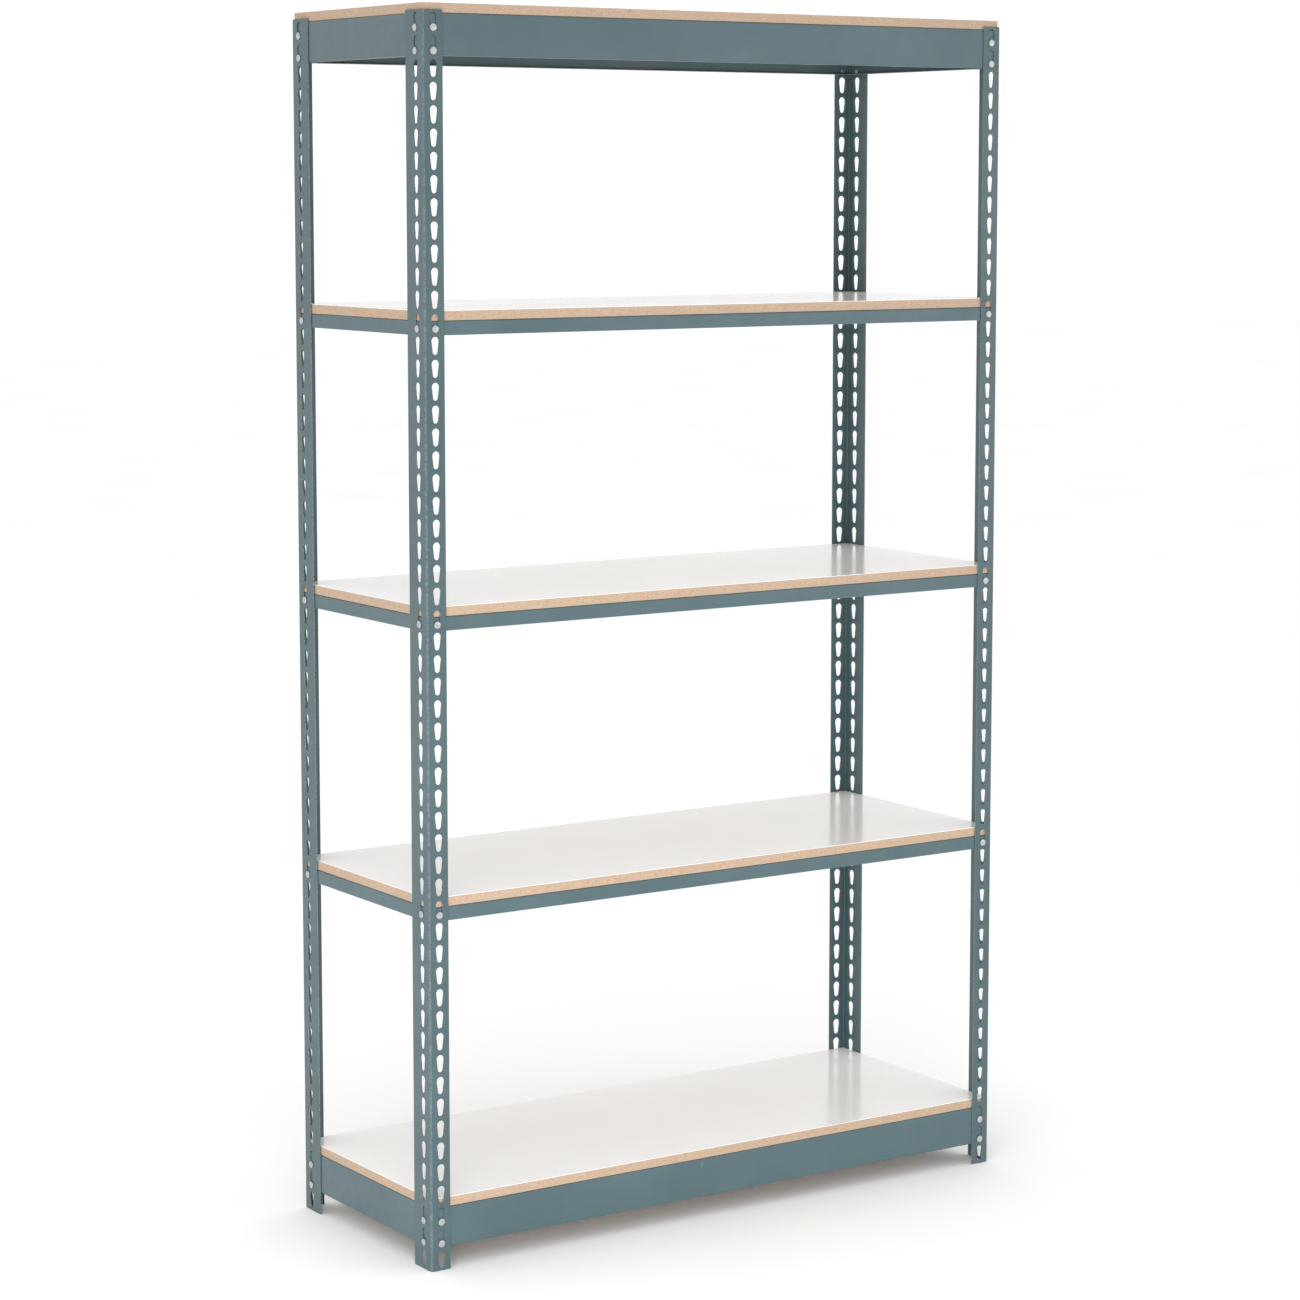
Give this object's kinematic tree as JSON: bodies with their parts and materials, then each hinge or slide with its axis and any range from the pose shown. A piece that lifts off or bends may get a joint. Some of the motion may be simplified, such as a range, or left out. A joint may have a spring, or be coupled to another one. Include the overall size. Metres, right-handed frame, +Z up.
{
  "type": "boltless steel shelving",
  "caption": "Free-standing boltless shelving: slotted angle posts, riveted steel beams and white laminated decks for stored goods.",
  "frame": {"origin": "on the floor, under the middle of the unit", "axes": "+Z up; +X to the right seen from the front, along the width; +Y from the front to the rear"},
  "size_m": [1.2242, 0.4622, 2.1456],
  "materials": {
    "painted_post": "semi-gloss blue-grey baked enamel on slotted steel angle",
    "painted_beam": "semi-gloss blue-grey baked enamel on formed steel, with bright rivets",
    "particle_board": "raw sawn edge of particle board",
    "white_laminate": "smooth white melamine laminate, semi-gloss"
  },
  "bodies": {
    "frame": {"post_front_left": "painted_post", "post_front_right": "painted_post", "post_rear_left": "painted_post", "post_rear_right": "painted_post", "beam_front_1": "painted_beam", "beam_rear_1": "painted_beam", "beam_left_1": "painted_beam", "beam_right_1": "painted_beam", "beam_front_2": "painted_beam", "beam_rear_2": "painted_beam", "beam_left_2": "painted_beam", "beam_right_2": "painted_beam", "beam_front_3": "painted_beam", "beam_rear_3": "painted_beam", "beam_left_3": "painted_beam", "beam_right_3": "painted_beam", "beam_front_4": "painted_beam", "beam_rear_4": "painted_beam", "beam_left_4": "painted_beam", "beam_right_4": "painted_beam", "beam_front_5": "painted_beam", "beam_rear_5": "painted_beam", "beam_left_5": "painted_beam", "beam_right_5": "painted_beam"},
    "deck_1": {"deck_board_1": "particle_board", "deck_laminate_1": "white_laminate"},
    "deck_2": {"deck_board_2": "particle_board", "deck_laminate_2": "white_laminate"},
    "deck_3": {"deck_board_3": "particle_board", "deck_laminate_3": "white_laminate"},
    "deck_4": {"deck_board_4": "particle_board", "deck_laminate_4": "white_laminate"},
    "deck_5": {"deck_board_5": "particle_board", "deck_laminate_5": "white_laminate"}
  },
  "joints": [
    {"name": "deck_1_lift", "type": "slide", "parent": "frame", "child": "deck_1", "axis": [0, 0, 1], "range_m": [0, 0.479]},
    {"name": "deck_2_lift", "type": "slide", "parent": "frame", "child": "deck_2", "axis": [0, 0, 1], "range_m": [0, 0.452]},
    {"name": "deck_3_lift", "type": "slide", "parent": "frame", "child": "deck_3", "axis": [0, 0, 1], "range_m": [0, 0.452]},
    {"name": "deck_4_lift", "type": "slide", "parent": "frame", "child": "deck_4", "axis": [0, 0, 1], "range_m": [0, 0.417]},
    {"name": "deck_5_lift", "type": "slide", "parent": "frame", "child": "deck_5", "axis": [0, 0, 1], "range_m": [0, 0.3]}
  ]
}
